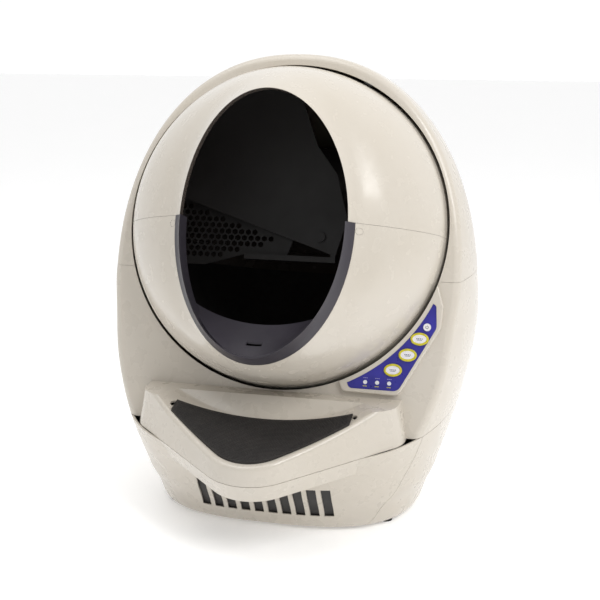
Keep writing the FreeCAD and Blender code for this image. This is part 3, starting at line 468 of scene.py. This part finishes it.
def mat_ribs():
    """Ribs across the rubber mat, laid on the CAD mat's top, with staggered nubs."""
    mat = nodes["step_mat"]
    tree = BVHTree.FromPolygons([v.co for v in mat.data.vertices],
                                [p.vertices for p in mat.data.polygons])
    low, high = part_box("step_mat")
    pitch = 0.0036      # from one rib to the next
    step = 0.0009       # between two points of a rib
    edge = 0.003        # the mat's plain border
    fewest_points = 12  # a shorter rib is left out
    parts = []
    y = low.y + edge
    number = 0
    while y < high.y - edge:
        inset = int(edge / step)
        points = points_across(tree, y, low, high, step)[inset:-inset]
        if len(points) > fewest_points:
            parts.append(rib(points, (number % 2) * 2.5))
        y += pitch
        number += 1
    return piece("step_mat_ribs", joined("step_mat_ribs", parts), FINISH["black_rubber"],
                 "base")


mat_ribs()

# ---------------------------------------------------------------- control panel

BUTTON_HALF_WIDE, BUTTON_HALF_TALL = 14.0, 9.8
BUTTON_TURN = math.radians(2)
RIM_GAP = 0.25
RIM_SECTION = ((0.0, -2.2), (0.0, -0.5), (-0.4, 0.15), (-1.9, 0.35), (-3.4, 0.15), (-3.7, -0.6))
WORD_BARS = ((-4.2, 2.0), (-1.4, 2.4), (1.6, 2.2), (4.3, 1.8))  # place and length of each bar


def middle_and_top(node):
    """The middle (x, up) of a CAD node and how far out its face is, in ring millimetres."""
    low, high = ring_span(node)
    return (low[0] + high[0]) / 2, (low[1] + high[1]) / 2, high[2]


def button_dressing(node):
    """A yellow rim round an oval button, and plain bars in place of its word."""
    x, up, top = middle_and_top(node)
    rows = []
    for grow, rise in RIM_SECTION:
        outline = oval(x, up, BUTTON_HALF_WIDE + RIM_GAP + grow, BUTTON_HALF_TALL + RIM_GAP + grow,
                       BUTTON_TURN)
        rows.append([ring_point(px, py, top + rise) for px, py in outline])
    piece(node + "_rim", mesh_of(node + "_rim", rows), RING_YELLOW, node)
    marks = [plate("mark", bar(x + shift, up + 0.4, length, 1.3), top - 0.1, top + 0.12, 0.06)
             for shift, length in WORD_BARS]
    marks.append(plate("mark", bar(x, up - 1.6, 8.4, 0.7), top - 0.1, top + 0.1, 0.05))
    piece(node + "_mark", joined("mark", marks), INK_DARK, node)


for key in ("cycle", "empty", "reset"):
    button_dressing("button_" + key)


def power_mark():
    """The standard power symbol: an open ring and a short upright bar."""
    x, up, top = middle_and_top("button_power")
    radius, thick = 2.2, 0.35
    opening = math.radians(38)
    arc_steps, section_points = 28, 6
    rows = []
    for i in range(arc_steps + 1):
        angle = math.pi / 2 + opening + (2 * math.pi - 2 * opening) * i / arc_steps
        row = []
        for k in range(section_points):
            turn = 2 * math.pi * k / section_points
            reach = radius + thick * math.cos(turn)
            row.append(ring_point(x + reach * math.cos(angle), up + reach * math.sin(angle),
                                  top + 0.12 * math.sin(turn)))
        rows.append(row)
    arc = mesh_of("arc", rows, capped=True)
    stem = plate("stem", bar(x, up + 1.6, 2.6, 0.7, math.pi / 2), top - 0.1, top + 0.12, 0.05)
    piece("button_power_mark", joined("power_mark", [arc, stem]), INK_DARK, "button_power")


power_mark()


def panel_print():
    """Plain dashes printed above and below the three status lights, in place of words."""
    film_top = ring_span("panel_overlay")[1][2]
    lights_low, lights_high = ring_span("status_lights")
    light_radius = 3.2
    up = (lights_low[1] + lights_high[1]) / 2
    left, right = lights_low[0] + light_radius, lights_high[0] - light_radius

    def dash(x, place, length, thick):
        return plate("dash", bar(x, place, length, thick), film_top - 0.1, film_top + 0.08, 0.04)

    whites, yellows = [], []
    for i in range(3):
        x = left + (right - left) * i / 2
        whites += [dash(x + shift, up + 6.6, 2.2, 1.0) for shift in (-2.6, 0.0, 2.6)]
        yellows += [dash(x + shift, up - 6.2, 3.2, 1.4) for shift in (-2.0, 1.4)]
    piece("panel_dashes_white", joined("dashes", whites), INK_WHITE, "base")
    piece("panel_dashes_yellow", joined("dashes", yellows), INK_YELLOW, "base")


panel_print()

# ---------------------------------------------------------------- floor, light

FLOOR_HALF = 12.0


def make_floor():
    """A white floor, with a faint glow so that it stays white far from the lamps."""
    bm = bmesh.new()
    bmesh.ops.create_grid(bm, x_segments=8, y_segments=8, size=FLOOR_HALF)
    mesh = bpy.data.meshes.new("floor")
    bm.to_mesh(mesh)
    bm.free()
    floor = bpy.data.objects.new("floor", mesh)
    scene.collection.objects.link(floor)
    f = Finish("floor")
    f.colour(f.mix(f.noise(3.0, 2.0), srgb(246, 246, 246), srgb(250, 250, 250)))
    f.rough(f.remap(f.noise(20.0, 2.0), 0.3, 0.7, 0.6, 0.7))
    f.set(Emission_Color=(1, 1, 1, 1), Emission_Strength=0.22)
    mesh.materials.append(f.material)


LOOK = Vector((0.0, 0.0, 0.4))


def area(name, location, width, height, power):
    """A soft rectangular lamp that points at the middle of the object."""
    data = bpy.data.lights.new(name, "AREA")
    data.shape = "RECTANGLE"
    data.size, data.size_y = width, height
    data.energy = power
    lamp = bpy.data.objects.new(name, data)
    scene.collection.objects.link(lamp)
    lamp.location = location
    lamp.rotation_mode = "QUATERNION"
    lamp.rotation_quaternion = (LOOK - Vector(location)).to_track_quat("-Z", "Y")


FRONT_GLOW, BACK_GLOW = 0.38, 0.95


def make_world():
    """White all round, dimmer on the side that the entry faces, so that the key light shapes it."""
    world = bpy.data.worlds.new("world")
    scene.world = world
    world.use_nodes = True
    tree = world.node_tree
    direction = tree.nodes.new("ShaderNodeTexCoord").outputs["Generated"]
    split = tree.nodes.new("ShaderNodeSeparateXYZ")
    tree.links.new(direction, split.inputs[0])
    ramp = tree.nodes.new("ShaderNodeMapRange")
    ramp.interpolation_type = "SMOOTHSTEP"
    ramp.inputs["From Min"].default_value = -0.5
    ramp.inputs["From Max"].default_value = 0.5
    ramp.inputs["To Min"].default_value = FRONT_GLOW
    ramp.inputs["To Max"].default_value = BACK_GLOW
    tree.links.new(split.outputs["Y"], ramp.inputs["Value"])
    background = tree.nodes["Background"]
    background.inputs["Color"].default_value = (1, 1, 1, 1)
    tree.links.new(ramp.outputs["Result"], background.inputs["Strength"])


make_floor()
area("key", (1.7, -1.3, 2.3), 1.1, 1.5, 36)
area("top", (-0.5, -0.3, 2.6), 1.6, 1.6, 15)
area("left", (-2.2, -1.2, 1.5), 0.7, 1.4, 3.5)
make_world()
scene.view_settings.view_transform = "Standard"
scene.view_settings.look = "None"
scene.view_settings.exposure = 0.12
